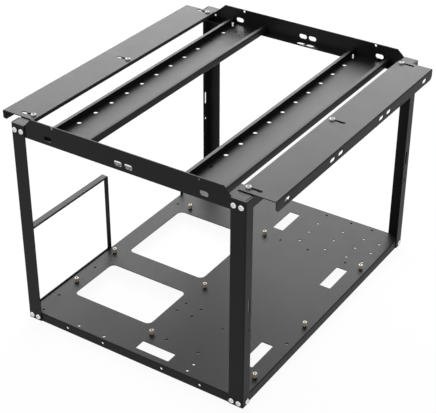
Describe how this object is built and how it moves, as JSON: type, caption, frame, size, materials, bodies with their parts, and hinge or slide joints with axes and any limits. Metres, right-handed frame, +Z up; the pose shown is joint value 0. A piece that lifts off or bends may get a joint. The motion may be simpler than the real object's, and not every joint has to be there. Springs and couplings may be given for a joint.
{
  "type": "open air test bench",
  "caption": "Open bench of folded black steel for a bare motherboard: tray on posts, top beams, lipped channels, slotted plates that slide in and a side bracket.",
  "frame": {"origin": "middle of the footprint, on the surface the bench stands on", "axes": "+X to the right along the front, +Y from front to back, +Z up"},
  "size_m": [0.3944, 0.439, 0.306],
  "materials": {
    "black_coat": "satin",
    "brass": "satin",
    "zinc": "satin"
  },
  "bodies": {
    "frame": {"base_plate": "black_coat", "post_front_left": "black_coat", "post_front_right": "black_coat", "post_back_left": "black_coat", "post_back_right": "black_coat", "front_beam": "black_coat", "back_beam": "black_coat", "side_beam_left": "black_coat", "side_beam_right": "black_coat", "channel_left": "black_coat", "channel_right": "black_coat", "side_bracket": "black_coat", "standoffs": "brass", "front_post_screws": "zinc", "back_post_screws": "zinc", "left_post_screws": "zinc", "right_post_screws": "zinc", "left_plate_screws": "zinc", "right_plate_screws": "zinc", "channel_screws": "zinc", "bracket_screws": "zinc"},
    "left_plate": {"top_plate_left": "black_coat"},
    "right_plate": {"top_plate_right": "black_coat"}
  },
  "joints": [
    {"name": "left_plate_slide", "type": "slide", "parent": "frame", "child": "left_plate", "axis": [1, 0, 0], "range_m": [0, 0.016]},
    {"name": "right_plate_slide", "type": "slide", "parent": "frame", "child": "right_plate", "axis": [-1, 0, 0], "range_m": [0, 0.016]}
  ]
}
